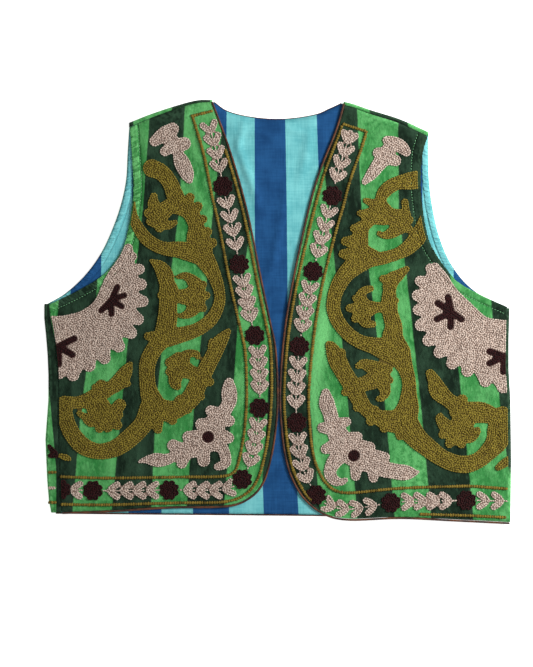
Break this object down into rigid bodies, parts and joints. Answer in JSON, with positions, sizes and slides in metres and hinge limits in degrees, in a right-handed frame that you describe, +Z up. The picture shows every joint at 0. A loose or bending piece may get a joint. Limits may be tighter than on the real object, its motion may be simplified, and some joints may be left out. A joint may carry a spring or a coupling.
{
  "type": "embroidered waistcoat",
  "caption": "Short sleeveless velvet waistcoat laid flat, striped lining, piped edges, raised scroll, rosette and garland embroidery on both fronts.",
  "frame": {"origin": "middle of the garment's outline on the surface it lies on", "axes": "+X to the wearer's left along the width, +Y from the hem to the neck, +Z up from the surface"},
  "size_m": [0.551, 0.5007, 0.007],
  "materials": {
    "velvet": "cotton velvet in broad light green and dark green stripes, soft short pile, slightly crushed",
    "lining": "plain woven cotton in broad deep blue and turquoise stripes, matt",
    "piping": "brown bias-cut cotton over a cord, matt",
    "olive_thread": "olive-gold chain stitch, dense, slightly lustrous",
    "pink_thread": "dusty pink chain stitch, dense, matt",
    "dark_thread": "dark brown chain stitch, dense, matt"
  },
  "bodies": {
    "root": {"back_velvet": "velvet", "back_lining": "lining", "front_right_velvet": "velvet", "front_left_velvet": "velvet", "piping_front_right": "piping", "piping_front_left": "piping", "piping_neck": "piping", "piping_hem": "piping", "scroll_right": "olive_thread", "sprig_right": "pink_thread", "rosette_right": "pink_thread", "upper_star_right": "dark_thread", "seam_star_right": "dark_thread", "spray_right": "pink_thread", "spray_eye_right": "dark_thread", "garland_right": "pink_thread", "inner_line_right": "olive_thread", "outer_line_right": "olive_thread", "scroll_left": "olive_thread", "sprig_left": "pink_thread", "rosette_left": "pink_thread", "upper_star_left": "dark_thread", "seam_star_left": "dark_thread", "spray_left": "pink_thread", "spray_eye_left": "dark_thread", "garland_left": "pink_thread", "inner_line_left": "olive_thread", "outer_line_left": "olive_thread"}
  },
  "joints": []
}
